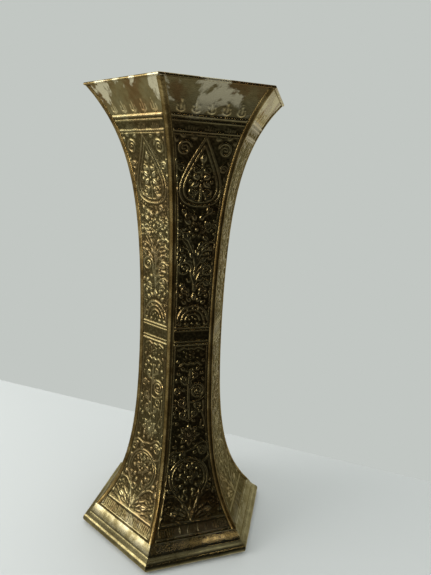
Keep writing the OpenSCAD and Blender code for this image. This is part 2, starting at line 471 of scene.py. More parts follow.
stroke([(19.5, 204), (20.5, 194), (19, 186), (21.5, 177), (22.5, 169), (19, 164), (16.5, 169),
        (18.5, 177)], 1.1, 0.7)
leaf(-14, 176, -120, 9, 3.4)
leaf(-22, 180, 178, 9, 3)
print("large scroll:", len(strokes), "strokes so far")

# %% [markdown]
# The stem opens into a wide rosette, under which a wavy branch crosses the whole side.

# %% Wide rosette
flower(0, 156, 13.5, 8)
ring(0, 156, 4.4, 0.8)
for x, z, r in [(18, 149, 1.5), (15, 166, 1.6), (21, 157, 1.4), (12, 143, 1.4)]:
    boss(x, z, r)
    boss(-x, z - 1, r)
stroke([(-27, 130), (-19, 134), (-9, 132), (0, 134.5), (6.5, 136), (13, 141.5), (20, 144.5),
        (26, 142)], 1.1, 0.8)
volute(19, 132, 7, -60, 1.6, 1.2, 0.8)
stroke([(27.5, 138), (29.5, 128), (26, 120), (16, 114)], 1.3, 0.8)
ring(-24, 122, 4.4, 1.0)
boss(-24, 122, 1.6)
for mark in [
        (-15, 126, -70, 9, 3.4), (-5, 139, -78, 9, 3.4), (-16, 138, -60, 9, 3.2), (5, 141, 40, 7, 3),
        (-4, 127, -100, 9, 3.2), (5, 128, 60, 8, 3.2), (-28, 112, 175, 9, 3.2), (25, 150, 20, 8, 3)]:
    leaf(*mark)
print("wide rosette:", len(shapes), "shapes so far")

# %% [markdown]
# At the foot, a round medallion filled with leaves rises from a spray that fans out over
# the lowest rule. The two rings of the medallion are open below, where the spray enters.

# %% Medallion and spray
MEDALLION = (-1, 96)
stroke(arc(*MEDALLION, 27, -138, 138), 1.2)
stroke(arc(*MEDALLION, 23, -138, 138), 0.8)
flower(-1, 97, 9, 6, 30)
leaves((7, 105, 42, 10, 3.8), (9, 97, 88, 10, 3.8), (7, 89, 130, 10, 3.8), (4, 110, 62, 8, 3.2),
       (3, 84, 155, 9, 3.4), (13, 84, 165, 8, 3), shift=2)
leaf(-1, 107, 0, 9, 4)
tendril(3, 100, 3.4, 1)
tendril(-5, 100, 3.4, -1)
tendril(2, 113, 3.0, 1)
tendril(-4, 113, 3.0, -1)
for x, z in [(-7, 114.5), (5, 114.5), (-18, 103), (16, 103), (-16, 88), (14, 88)]:
    boss(x, z, 1.5)
stroke([(-1, 45), (4, 57), (10, 68), (14, 80), (16.5, 89)], 1.8, 0.9)
stroke([(9, 65), (15, 71.5), (23, 76.5), (30, 77)], 1.2, 0.7)
stroke([(-1, 45), (-6, 57), (-12, 67), (-17, 78), (-19.5, 87)], 1.5, 0.9)
stroke([(-11, 65), (-17, 71), (-25, 75.5), (-32, 75)], 1.1, 0.7)
leaves((2, 47.5, 52, 22, 5.4), (3, 46.8, 70, 31, 5.6), (5, 46.2, 84, 24, 3.6), (2.5, 50, 30, 15, 4.4),
       (24, 79, 45, 10, 3.8), (33, 70, 10, 10, 3.4), (37, 50, 60, 8, 3.2), (31, 85, 0, 9, 3.2),
       (14, 73, 15, 8, 3), shift=2)
leaf(-1, 47, 0, 15, 4.6)
flower(29, 63.5, 6.4, 6)
flower(-31, 63.5, 6.4, 6)
ring(-8, 70.5, 3.6, 1.0)
boss(-8, 70.5, 1.4)
ring(6, 74, 2.8, 0.9)
print(len(strokes), "strokes,", len(shapes), "shapes and", len(cuts), "cuts in the die")

# %% [markdown]
# ### From drawing to objects
# Geometry Nodes can't read Python lists, so the drawing becomes three plain meshes: edges
# for the strokes, with their half width kept as an attribute on the points, filled faces
# for the shapes, and edges for the cuts. They are only tools: they are deleted once the
# sheets are pressed.

# %% Die objects
def die_object(name, lines, as_faces=False, widths=None):
    """A mesh in metres that holds the lines as edges, or as filled faces."""
    points, edges, faces = [], [], []
    for line in lines:
        first = len(points)
        points += [(x * MM, z * MM, 0) for x, z in line]
        run = list(range(first, len(points)))
        if as_faces:
            faces.append(run)
        else:
            edges += list(zip(run, run[1:]))
    mesh = bpy.data.meshes.new(name)
    mesh.from_pydata(points, edges, faces)
    if widths is not None:
        half = mesh.attributes.new("half_width", "FLOAT", "POINT")
        half.data.foreach_set("value", (np.concatenate(widths) * MM).astype(np.float32))
    mesh.update()
    return put(name, mesh)


die_strokes = die_object("die_strokes", [s[0] for s in strokes], widths=[s[1] for s in strokes])
die_shapes = die_object("die_shapes", shapes, as_faces=True)
die_cuts = die_object("die_cuts", cuts)
print("die points:", len(die_strokes.data.vertices), "on strokes,",
      len(die_shapes.data.vertices), "on shapes")

# %% [markdown]
# ## A node group for the flare
# Two different pieces follow the flare, so it is a node group of its own. It takes a
# height and gives the corner radius there and how fast it grows. The sizes are named
# inputs whose defaults come from the values above.

# %% Flare group
def new_tree(name, inputs, outputs=(("Geometry", "NodeSocketGeometry"),)):
    """An empty geometry tree with named inputs and outputs, and its two end nodes."""
    tree = bpy.data.node_groups.new(name, "GeometryNodeTree")
    for label, kind, value in inputs:
        socket = tree.interface.new_socket(label, in_out="INPUT", socket_type=kind)
        if value is not None:
            socket.default_value = value
    for label, kind in outputs:
        tree.interface.new_socket(label, in_out="OUTPUT", socket_type=kind)
    return tree, add(tree, "NodeGroupInput").outputs, add(tree, "NodeGroupOutput").inputs


FLOAT, INT = "NodeSocketFloat", "NodeSocketInt"
flare_tree, given, result = new_tree(
    "flare of the body",
    [("Height", FLOAT, 0.0), ("Core Radius", FLOAT, CORE), ("Top", FLOAT, TOP), ("Foot", FLOAT, FOOT),
     ("Mouth Flare", FLOAT, MOUTH_FLARE), ("Mouth Reach", FLOAT, MOUTH_REACH),
     ("Foot Flare", FLOAT, FOOT_FLARE), ("Foot Reach", FLOAT, FOOT_REACH)],
    [("Corner Radius", FLOAT), ("Slope", FLOAT)])
down = add(flare_tree, MATH, {0: given["Height"], 1: given["Top"]}, operation="SUBTRACT")
up = add(flare_tree, MATH, {0: given["Foot"], 1: given["Height"]}, operation="SUBTRACT")
swell = {}
for end, drop in (("Mouth", down), ("Foot", up)):
    share = add(flare_tree, MATH, {0: drop, 1: given[f"{end} Reach"]}, operation="DIVIDE")
    fade = add(flare_tree, MATH, {0: share}, operation="EXPONENT")
    swell[end] = add(flare_tree, MATH, {0: fade, 1: given[f"{end} Flare"]}, operation="MULTIPLY")
    swell[end + " slope"] = add(flare_tree, MATH, {0: swell[end], 1: given[f"{end} Reach"]},
                                operation="DIVIDE")
both_ends = add(flare_tree, MATH, {0: swell["Mouth"], 1: swell["Foot"]}, operation="ADD")
radius = add(flare_tree, MATH, {0: both_ends, 1: given["Core Radius"]}, operation="ADD")
slope = add(flare_tree, MATH, {0: swell["Mouth slope"], 1: swell["Foot slope"]}, operation="SUBTRACT")
flare_tree.links.new(radius.outputs[0], result["Corner Radius"])
flare_tree.links.new(slope.outputs[0], result["Slope"])
print("flare group:", len(flare_tree.nodes), "nodes")

# %% [markdown]
# ## What the trees share
# Sheet and strip are both made from a squashed tube: a cylinder primitive whose first
# points of each ring run across the outside of the metal, while the rest run back across
# the inside. A tube is closed by nature, so the metal gets its thickness and its ends with
# no seams to mend. A Solidify modifier would double the fine mesh on the inside, where a
# coarse one is enough.
#
# Nothing that is worked by hand is quite flat, so each piece is also a little uneven, by a
# noise with its own seed. And each tree ends in the same way: the points take their
# places, the piece turns to its own side of the hexagon, and it gets its finish.

# %% Tube, unevenness and placing
def squashed_tube(tree, out_points, in_points, rows):
    """A tube, and for each point its row, whether it is inside, and its place across, -1 to 1."""
    ring_points = out_points + in_points
    tube = add(tree, "GeometryNodeMeshCylinder", {"Vertices": ring_points, "Side Segments": rows},
               fill_type="NGON")
    number = add(tree, "GeometryNodeInputIndex")
    column = add(tree, MATH, {0: number, 1: ring_points}, operation="MODULO")
    row = add(tree, MATH, {0: number, 1: ring_points}, operation="DIVIDE")
    row = add(tree, MATH, {0: row}, operation="FLOOR")
    inside = add(tree, MATH, {0: column, 1: out_points - 0.5}, operation="GREATER_THAN")
    going = add(tree, RANGE, {0: column, 1: 0, 2: out_points - 1, 3: -1, 4: 1})
    coming = add(tree, RANGE, {0: column, 1: out_points, 2: ring_points - 1, 3: 1, 4: -1})
    return tube, row, inside, add(tree, MIX, {0: inside, 2: going, 3: coming})


def unevenness(tree, seed, place, size, detail, level, depth):
    """How far a point is off its true place: a noise of one wave size, less a level, by a depth."""
    wave = add(tree, NOISE, {"Vector": place, "W": seed, "Scale": 1 / size, "Detail": detail},
               noise_dimensions="4D")
    wave = add(tree, MATH, {0: wave, 1: -level}, operation="ADD")
    return add(tree, MATH, {0: wave, 1: depth}, operation="MULTIPLY")


def set_in_place(tree, given, result, geometry, out, side, up):
    """Ends a tree: moves the points, turns the piece to its side, and gives it its finish."""
    place = add(tree, JOIN, {"X": out, "Y": side, "Z": up})
    shaped = add(tree, "GeometryNodeSetPosition", {"Geometry": geometry, "Position": place})
    spin = add(tree, JOIN, {"Z": given["Turn"]})
    turned = add(tree, "GeometryNodeTransform", {"Geometry": shaped, "Rotation": spin})
    real = add(tree, "GeometryNodeRealizeInstances", {"Geometry": turned})
    coated = add(tree, "GeometryNodeSetMaterial", {"Geometry": real, "Material": given["Material"]})
    tree.links.new(coated.outputs[0], result["Geometry"])
    print(tree.name + ":", len(tree.nodes), "nodes")


# %% [markdown]
# ## The pressed panels
# On the real stand a panel is a flat blank that is embossed, bent to the flare and rolled
# over a wire at the top. The tree does the same. First it works out, from a point's number
# alone, where the point lies on the flat blank: how far across, how high, and how far
# round the roll at the top.

# %% Panel tree: a place on the blank
ACROSS_OUT, ACROSS_IN = 104, 16              # points of a ring on the outside and on the inside
ROWS, ROLL_ROWS = 780, 16
ROLL_TURN = math.radians(285)
BORE = WIRE_R + 0.05 * MM
RIM_SLOPE = flat_slope(WIRE_Z)
WIRE_PROUD = WIRE_OUT - FLAT * corner_r(WIRE_Z)
SHEET_TOP = WIRE_Z + WIRE_PROUD * RIM_SLOPE / (1 + RIM_SLOPE**2)
NECK = BORE - WIRE_PROUD / math.hypot(1, RIM_SLOPE)

panel_tree, given, result = new_tree("pressed panel", [
    ("Strokes", "NodeSocketObject", None), ("Shapes", "NodeSocketObject", None),
    ("Cuts", "NodeSocketObject", None), ("Material", "NodeSocketMaterial", None),
    ("Turn", FLOAT, 0.0), ("Seed", FLOAT, 0.0), ("Sheet", FLOAT, SHEET), ("Seam", FLOAT, SEAM),
    ("Foot", FLOAT, FOOT), ("Sheet Top", FLOAT, SHEET_TOP), ("Wire Out", FLOAT, WIRE_OUT),
    ("Wire Height", FLOAT, WIRE_Z), ("Bore", FLOAT, BORE), ("Neck", FLOAT, NECK),
    ("Stroke Rise", FLOAT, 1.25 * MM), ("Shape Rise", FLOAT, 1.5 * MM),
    ("Shape Shoulder", FLOAT, 1.7 * MM), ("Cut Depth", FLOAT, 0.5 * MM),
    ("Ground Rise", FLOAT, 0.35 * MM), ("Ground Pitch", FLOAT, 2.4 * MM),
    ("Dent Depth", FLOAT, 0.6 * MM), ("Bead Edge", FLOAT, BEAD_HALF * MM)])

tube, row, inside, across = squashed_tube(panel_tree, ACROSS_OUT, ACROSS_IN, ROWS + ROLL_ROWS)
height = add(panel_tree, RANGE, {0: row, 1: ROWS + ROLL_ROWS, 2: ROLL_ROWS,
                                 3: given["Foot"], 4: given["Sheet Top"]})
rolled = add(panel_tree, RANGE, {0: row, 1: ROLL_ROWS, 2: 0, 3: 0, 4: ROLL_TURN})
flare = add(panel_tree, "GeometryNodeGroup", {"Height": height}, node_tree=flare_tree)
flat_out = add(panel_tree, MATH, {0: flare, 1: FLAT}, operation="MULTIPLY")
slope = add(panel_tree, MATH, {0: flare.outputs["Slope"], 1: FLAT}, operation="MULTIPLY")
half = add(panel_tree, MATH, {0: flat_out, 1: TAN30}, operation="MULTIPLY")
blank_x = add(panel_tree, MATH, {0: half, 1: across}, operation="MULTIPLY")
blank = add(panel_tree, JOIN, {"X": blank_x, "Y": height})
print("blank:", (ACROSS_OUT + ACROSS_IN) * (ROWS + ROLL_ROWS + 1), "points, neck",
      round(NECK / MM, 3), "mm")

# %% [markdown]
# ### Pressing
# Each point measures how far it is from the die's drawing and rises by what that distance
# gives. A smooth step on both sides of every mark gives the soft shoulders of pressed
# sheet. Between the marks the ground is pebbled, which on real work hides small faults.
# Close to the corners the relief fades to nothing, because the corner strips lie there.

# %% Panel tree: the relief
WIRE_FOOT, WIRE_CROWN = 1.45, 0.2            # where a wire's slope starts and ends, in half widths
GROUND_TOP = 573 * MM                        # the rim above it has no pebbled ground
dies = {name: add(panel_tree, "GeometryNodeObjectInfo", {"Object": given[name]}).outputs["Geometry"]
        for name in ("Strokes", "Shapes", "Cuts")}
distance = {name: add(panel_tree, "GeometryNodeProximity",
                      {"Geometry": dies[name], "Sample Position": blank},
                      target_element="EDGES").outputs["Distance"] for name in dies}
widths = add(panel_tree, "GeometryNodeInputNamedAttribute", {"Name": "half_width"}, data_type="FLOAT")
nearest = add(panel_tree, "GeometryNodeSampleNearest",
              {"Geometry": dies["Strokes"], "Sample Position": blank}, domain="POINT")
wide = add(panel_tree, "GeometryNodeSampleIndex",
           {"Geometry": dies["Strokes"], "Value": widths, "Index": nearest}, data_type="FLOAT")
outer = add(panel_tree, MATH, {0: wide, 1: WIRE_FOOT}, operation="MULTIPLY")
inner = add(panel_tree, MATH, {0: wide, 1: WIRE_CROWN}, operation="MULTIPLY")
wire = add(panel_tree, RANGE, {0: distance["Strokes"], 1: outer, 2: inner, 4: given["Stroke Rise"]},
           interpolation_type="SMOOTHSTEP")
beside = add(panel_tree, "GeometryNodeProximity",
             {"Geometry": dies["Shapes"], "Sample Position": blank}, target_element="FACES")
within = add(panel_tree, MATH, {0: beside.outputs["Distance"], 1: -2.0, 2: distance["Shapes"]},
             operation="MULTIPLY_ADD")
cushion = add(panel_tree, RANGE, {0: within, 1: -0.4 * MM, 2: given["Shape Shoulder"],
                                  4: given["Shape Rise"]}, interpolation_type="SMOOTHSTEP")
raised = add(panel_tree, MATH, {0: wire, 1: cushion}, operation="MAXIMUM")
groove = add(panel_tree, RANGE, {0: distance["Cuts"], 1: 1.0 * MM, 2: 0.2 * MM,
                                 4: given["Cut Depth"]}, interpolation_type="SMOOTHSTEP")
marks = add(panel_tree, MATH, {0: raised, 1: groove}, operation="SUBTRACT")
per_metre = add(panel_tree, MATH, {0: 1.0, 1: given["Ground Pitch"]}, operation="DIVIDE")
cells = add(panel_tree, "ShaderNodeTexVoronoi", {"Vector": blank, "Scale": per_metre},
            voronoi_dimensions="2D", feature="SMOOTH_F1")
pebble = add(panel_tree, RANGE, {0: cells.outputs["Distance"], 1: 0.65, 2: 0.1,
                                 4: given["Ground Rise"]}, interpolation_type="SMOOTHSTEP")
bare = add(panel_tree, RANGE, {0: raised, 1: 0.5 * MM, 2: 0.0})
below_rim = add(panel_tree, RANGE, {0: height, 1: GROUND_TOP, 2: GROUND_TOP - 3 * MM})
ground = add(panel_tree, MATH, {0: pebble, 1: bare}, operation="MULTIPLY")
ground = add(panel_tree, MATH, {0: ground, 1: below_rim}, operation="MULTIPLY")
pressed = add(panel_tree, MATH, {0: marks, 1: ground}, operation="ADD")
edge = add(panel_tree, MATH, {0: across}, operation="ABSOLUTE")
edge = add(panel_tree, MATH, {0: 1.0, 1: edge}, operation="SUBTRACT")
edge = add(panel_tree, MATH, {0: edge, 1: half}, operation="MULTIPLY")
bead_clear = add(panel_tree, MATH, {0: given["Bead Edge"], 1: 1.5 * MM}, operation="ADD")
clear = add(panel_tree, RANGE, {0: edge, 1: given["Bead Edge"], 2: bead_clear},
            interpolation_type="SMOOTHSTEP")
outside = add(panel_tree, MATH, {0: 1.0, 1: inside}, operation="SUBTRACT")
clear = add(panel_tree, MATH, {0: clear, 1: outside}, operation="MULTIPLY")
pressed = add(panel_tree, MATH, {0: pressed, 1: clear}, operation="MULTIPLY")
eased = add(panel_tree, "GeometryNodeBlurAttribute", {"Value": pressed, "Iterations": 1, "Weight": 0.6},
            data_type="FLOAT")
share = add(panel_tree, MATH, {0: eased, 1: given["Shape Rise"]}, operation="DIVIDE")
marked = add(panel_tree, "GeometryNodeStoreNamedAttribute",
             {"Geometry": tube, "Name": "relief", "Value": share}, data_type="FLOAT", domain="POINT")
print("relief nodes in place:", len(panel_tree.nodes))

# %% [markdown]
# ### Bending and rolling
# Last, the flat place becomes a place on the curved side. A point moves out along the
# sheet's own direction by its relief, or in by the sheet's thickness. The top rows go round
# the wire instead. Then each row is cut to the mitre planes, so that six panels meet at the
# corners with only a solder gap, and the panel turns to its own side of the hexagon.

# %% Panel tree: onto the flare
NECK_REACH = 8 * MM                          # drop over which the sheet bends in to its roll
STIFF_EDGE = 12 * MM                         # width beside a corner over which dents die out
run = add(panel_tree, MATH, {0: slope, 1: slope, 2: 1.0}, operation="MULTIPLY_ADD")
run = add(panel_tree, MATH, {0: run}, operation="SQRT")
relief = add(panel_tree, "GeometryNodeInputNamedAttribute", {"Name": "relief"}, data_type="FLOAT")
rise = add(panel_tree, MATH, {0: relief, 1: given["Shape Rise"]}, operation="MULTIPLY")
dent = unevenness(panel_tree, given["Seed"], blank, 45 * MM, 1.0, 0.5, given["Dent Depth"])
near_top = add(panel_tree, MATH, {0: given["Sheet Top"], 1: -NECK_REACH}, operation="ADD")
neck = add(panel_tree, RANGE, {0: height, 1: near_top, 2: given["Sheet Top"], 4: given["Neck"]},
           interpolation_type="SMOOTHSTEP")
unrolled = add(panel_tree, RANGE, {0: height, 1: given["Sheet Top"], 2: near_top})
stiff = add(panel_tree, RANGE, {0: edge, 1: 0.0, 2: STIFF_EDGE})
dent = add(panel_tree, MATH, {0: dent, 1: unrolled}, operation="MULTIPLY")
dent = add(panel_tree, MATH, {0: dent, 1: stiff}, operation="MULTIPLY")
depth = add(panel_tree, MATH, {0: inside, 1: given["Sheet"]}, operation="MULTIPLY")
proud = add(panel_tree, MATH, {0: rise, 1: dent}, operation="ADD")
proud = add(panel_tree, MATH, {0: proud, 1: depth}, operation="SUBTRACT")
proud = add(panel_tree, MATH, {0: proud, 1: neck}, operation="SUBTRACT")
arm = add(panel_tree, MATH, {0: given["Bore"], 1: depth}, operation="ADD")
swing = {name: add(panel_tree, MATH, {0: rolled}, operation=name) for name in ("SINE", "COSINE")}
along = add(panel_tree, MATH, {0: arm, 1: swing["SINE"]}, operation="MULTIPLY")
behind = add(panel_tree, MATH, {0: arm, 1: swing["COSINE"]}, operation="MULTIPLY")
behind = add(panel_tree, MATH, {0: behind, 1: -1.0}, operation="MULTIPLY")
on_roll = add(panel_tree, MATH, {0: rolled, 1: 1e-4}, operation="GREATER_THAN")
base_out = add(panel_tree, MIX, {0: on_roll, 2: flat_out, 3: given["Wire Out"]})
base_up = add(panel_tree, MIX, {0: on_roll, 2: height, 3: given["Wire Height"]})
push = add(panel_tree, MIX, {0: on_roll, 2: proud, 3: behind})
push = add(panel_tree, MATH, {0: push, 1: run}, operation="DIVIDE")
along = add(panel_tree, MATH, {0: along, 1: run}, operation="DIVIDE")
out = add(panel_tree, MATH, {0: along, 1: slope, 2: push}, operation="MULTIPLY_ADD")
out = add(panel_tree, MATH, {0: out, 1: base_out}, operation="ADD")
lean = add(panel_tree, MATH, {0: push, 1: slope}, operation="MULTIPLY")
up = add(panel_tree, MATH, {0: along, 1: lean}, operation="SUBTRACT")
up = add(panel_tree, MATH, {0: up, 1: base_up}, operation="ADD")
mitre = add(panel_tree, MATH, {0: given["Seam"], 1: -2.0, 2: out}, operation="MULTIPLY_ADD")
mitre = add(panel_tree, MATH, {0: mitre, 1: TAN30}, operation="MULTIPLY")
side = add(panel_tree, MATH, {0: mitre, 1: across}, operation="MULTIPLY")
set_in_place(panel_tree, given, result, marked, out, side, up)

# %% [markdown]
# ## Corner strips
# A rounded strip of brass is soldered over each corner to hide the seam. It is the same
# squashed tube, but its section is a crown over a valley that fits the corner, and it
# follows the corner radius of the flare. A curve with a bevel profile could do it too, but
# its section would tilt with the curve, and this one has to stay level to sit in the corner.

# %% Corner strip tree
STRIP_OUT, STRIP_IN, STRIP_ROWS = 15, 5, 280
STRIP_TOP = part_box("corner_bead_right")[1].z

strip_tree, given, result = new_tree("corner strip", [
    ("Material", "NodeSocketMaterial", None), ("Turn", FLOAT, 0.0), ("Seed", FLOAT, 0.0),
    ("Foot", FLOAT, FOOT), ("Strip Top", FLOAT, STRIP_TOP), ("Half Width", FLOAT, 4.5 * MM),
    ("Crown", FLOAT, 1.2 * MM), ("Edge", FLOAT, 0.3 * MM), ("Solder", FLOAT, 0.05 * MM),
    ("Waviness", FLOAT, 0.5 * MM)])
tube, row, inside, across = squashed_tube(strip_tree, STRIP_OUT, STRIP_IN, STRIP_ROWS)
height = add(strip_tree, RANGE, {0: row, 1: STRIP_ROWS, 2: 0, 3: given["Foot"], 4: given["Strip Top"]})
flare = add(strip_tree, "GeometryNodeGroup", {"Height": height}, node_tree=flare_tree)
slope = flare.outputs["Slope"]
tilt = add(strip_tree, MATH, {0: slope, 1: slope, 2: 1.0}, operation="MULTIPLY_ADD")
tilt = add(strip_tree, MATH, {0: tilt}, operation="SQRT")
corner = add(strip_tree, MATH, {0: flare, 1: given["Solder"]}, operation="ADD")
spread = add(strip_tree, JOIN, {"X": across, "Z": height})
wave = unevenness(strip_tree, given["Seed"], spread, 20 * MM, 1.0, 0.5, given["Waviness"])
crown = add(strip_tree, MATH, {0: given["Crown"], 1: wave}, operation="ADD")
crown = add(strip_tree, MATH, {0: crown, 1: tilt}, operation="MULTIPLY")
lip = add(strip_tree, MATH, {0: given["Edge"], 1: tilt}, operation="MULTIPLY")
drop = add(strip_tree, MATH, {0: given["Half Width"], 1: TAN30}, operation="MULTIPLY")
fall = add(strip_tree, MATH, {0: crown, 1: drop}, operation="ADD")
fall = add(strip_tree, MATH, {0: fall, 1: lip}, operation="SUBTRACT")
square = add(strip_tree, MATH, {0: across, 1: across}, operation="MULTIPLY")
fall = add(strip_tree, MATH, {0: fall, 1: square}, operation="MULTIPLY")
over = add(strip_tree, MATH, {0: crown, 1: fall}, operation="SUBTRACT")
valley = add(strip_tree, MATH, {0: across}, operation="ABSOLUTE")
valley = add(strip_tree, MATH, {0: valley, 1: drop}, operation="MULTIPLY")
under = add(strip_tree, MATH, {0: valley, 1: -1.0}, operation="MULTIPLY")
out = add(strip_tree, MIX, {0: inside, 2: over, 3: under})
out = add(strip_tree, MATH, {0: out, 1: corner}, operation="ADD")
side = add(strip_tree, MATH, {0: across, 1: given["Half Width"]}, operation="MULTIPLY")
set_in_place(strip_tree, given, result, tube, out, side, height)

# %% [markdown]
# ## The plinth
# The plinth is thicker sheet, folded on a brake to one long moulding: a ledge, a sloping
# band, a groove, a rounded base and a flange turned in below. So its section is drawn once
# as a closed curve and swept along each side with Curve to Mesh, which also closes the
# ends. The sweep is straight, and a Set Position node cuts it to the mitre.

# %% Plinth section
PLINTH_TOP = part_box("plinth_front")[1].z
BASE_R = 7.2 * MM
BASE_OUT = -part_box("plinth_front")[0].y - BASE_R
LEDGE = FLAT * corner_r(FOOT) + 1.7 * MM
BAND_FOOT = (LEDGE + 6.6 * MM, 18.7 * MM)


def plinth_line(skin):
    """Half of the section: the moulding's line, skin below its outer face."""
    line = [(LEDGE - 8.7 * MM, PLINTH_TOP - skin), (LEDGE - skin / 2, PLINTH_TOP - skin),
            (BAND_FOOT[0] - skin, BAND_FOOT[1] - skin / 2),
            (BAND_FOOT[0] + 0.8 * MM - skin, BAND_FOOT[1] - 2.6 * MM - skin / 2)]
    for t in range(80, -91, -10):
        turn = math.radians(t)
        line.append((BASE_OUT + (BASE_R - skin) * math.cos(turn), BASE_R + (BASE_R - skin) * math.sin(turn)))
    return line + [(BASE_OUT - 10 * MM, skin)]


def rounded(points, reach):
    """The closed outline with each corner cut back by reach and bulged a little."""
    line = []
    for before, here, after in zip(points[-1:] + points[:-1], points, points[1:] + points[:1]):
        ends = []
        for other in (before, after):
            length = math.dist(here, other)
            k = min(reach, 0.4 * length) / length
            ends.append([h + k * (o - h) for h, o in zip(here, other)])
        middle = [0.5 * h + 0.25 * (a + b) for h, a, b in zip(here, *ends)]
        line += [ends[0], middle, ends[1]]
    return line


section = rounded(plinth_line(0) + plinth_line(1.2 * MM)[::-1], 0.45 * MM)
outline = bpy.data.curves.new("plinth_section", "CURVE")
outline.dimensions = "3D"
spline = outline.splines.new("POLY")
spline.points.add(len(section) - 1)
for point, (x, z) in zip(spline.points, section):
    point.co = (x, -z, 0, 1)
spline.use_cyclic_u = True
plinth_section = put("plinth_section", outline)
print("plinth section:", len(section), "points,", round((BASE_OUT + BASE_R) / MM, 2), "mm out")

# %% Plinth tree
plinth_tree, given, result = new_tree("mitred moulding", [
    ("Section", "NodeSocketObject", None), ("Material", "NodeSocketMaterial", None),
    ("Turn", FLOAT, 0.0), ("Seed", FLOAT, 0.0), ("Seam", FLOAT, SEAM), ("Columns", INT, 72),
    ("Dent Depth", FLOAT, 0.7 * MM)])
path = add(plinth_tree, "GeometryNodeCurvePrimitiveLine", {"Start": (0, -1, 0), "End": (0, 1, 0)})
path = add(plinth_tree, "GeometryNodeResampleCurve", {"Curve": path, "Count": given["Columns"]})
path = add(plinth_tree, "GeometryNodeSetCurveNormal", {"Curve": path}, mode="Z_UP")
drawn = add(plinth_tree, "GeometryNodeObjectInfo", {"Object": given["Section"]})
swept = add(plinth_tree, "GeometryNodeCurveToMesh",
            {"Curve": path, "Profile Curve": drawn.outputs["Geometry"], "Fill Caps": True})
place = add(plinth_tree, "ShaderNodeSeparateXYZ", {0: add(plinth_tree, "GeometryNodeInputPosition")})
width = add(plinth_tree, MATH, {0: given["Seam"], 1: -2.0, 2: place.outputs["X"]}, operation="MULTIPLY_ADD")
width = add(plinth_tree, MATH, {0: width, 1: TAN30}, operation="MULTIPLY")
side = add(plinth_tree, MATH, {0: width, 1: place.outputs["Y"]}, operation="MULTIPLY")
flat_place = add(plinth_tree, JOIN, {"X": 0.0, "Y": side, "Z": place.outputs["Z"]})
dent = unevenness(plinth_tree, given["Seed"], flat_place, 22 * MM, 2.0, 0.6, given["Dent Depth"])
ends = add(plinth_tree, MATH, {0: place.outputs["Y"]}, operation="ABSOLUTE")
ends = add(plinth_tree, RANGE, {0: ends, 1: 1.0, 2: 0.9})
seat = add(plinth_tree, RANGE, {0: place.outputs["Z"], 1: 1 * MM, 2: 3 * MM})
dent = add(plinth_tree, MATH, {0: dent, 1: ends}, operation="MULTIPLY")
dent = add(plinth_tree, MATH, {0: dent, 1: seat}, operation="MULTIPLY")
out = add(plinth_tree, MATH, {0: dent, 1: place.outputs["X"]}, operation="ADD")
set_in_place(plinth_tree, given, result, swept, out, side, place.outputs["Z"])

# %% [markdown]
# ## Finishes
# Old brass is one metal with many skins. Where hands rub it, it is yellow and smooth. In
# the hollows, oxide and old wax turn it dark brown and dull, and a darker band round the
# foot of every raised mark is painted shade for the crease there. Pale patches at the
# mouth, fainter at the foot, are partly lacquer worn to a bloom and partly a painted
# reflection of the pale wall. One material holds them all and reads the relief that the
# tree stored on the points, so the wear and the painted shade follow the pressing. A metal
# keeps the shader's default IOR, because its colour already says how it reflects.

# %% Embossed brass
def new_material(name):
    """An empty node material and its tree."""
    material = bpy.data.materials.new(name)
    material.use_nodes = True
    material.node_tree.nodes.clear()
    return material, material.node_tree


BLOOM_AND_REFLECTION_SEED = 6.0
RIM_FOOT, REED_TOP = 571 * MM, 44 * MM       # the plain rim starts, and the reeded foot ends
BRASS_EDGE = srgb("#ebe0c4")
# Sheet brass, die-pressed, once lacquered: mirror-like on the high spots, waxy in the hollows.
embossed, tree = new_material("embossed sheet brass, lacquer worn")
coords = add(tree, "ShaderNodeTexCoord").outputs["Object"]
level = add(tree, "ShaderNodeSeparateXYZ", {0: coords}).outputs["Z"]
relief = add(tree, "ShaderNodeAttribute", attribute_name="relief").outputs["Fac"]
patches = add(tree, NOISE, {"Vector": coords, "Scale": 1 / (35 * MM), "Detail": 4.0, "Roughness": 0.6})
mottle = add(tree, NOISE, {"Vector": coords, "Scale": 1 / (6 * MM), "Detail": 3.0})
grain = add(tree, NOISE, {"Vector": coords, "Scale": 1 / (1.2 * MM), "Detail": 2.0})
wear_and_painted_shade = add(tree, MATH, {0: mottle, 1: 0.45, 2: -0.22}, operation="MULTIPLY_ADD")
wear_and_painted_shade = add(tree, MATH, {0: relief, 1: wear_and_painted_shade}, operation="ADD")
rim = add(tree, RANGE, {0: level, 1: RIM_FOOT, 2: RIM_FOOT + 5 * MM})
wear_and_painted_shade = add(tree, MATH, {0: rim, 1: 0.74, 2: wear_and_painted_shade}, operation="MULTIPLY_ADD")
# The darkest stop, just above the ground, is painted shade round the foot of each raised mark; the light top
# end is rubbed wear.
skin = add(tree, RAMP, {0: wear_and_painted_shade}, [(0.0, "#5a5239"), (0.2, "#413a24"), (0.55, "#706748"),
                                   (0.85, "#8a8160"), (1.0, "#bfb38a")])
warm = add(tree, RAMP, {0: patches}, [(0.36, "#fffbe8"), (0.48, "#f4e2bc"), (0.6, "#cf9650")])
heat = add(tree, RANGE, {0: rim, 3: 0.4, 4: 0.66})
skin = add(tree, MIX, {0: heat, 6: skin, 7: warm}, data_type="RGBA", blend_type="MULTIPLY").outputs[2]
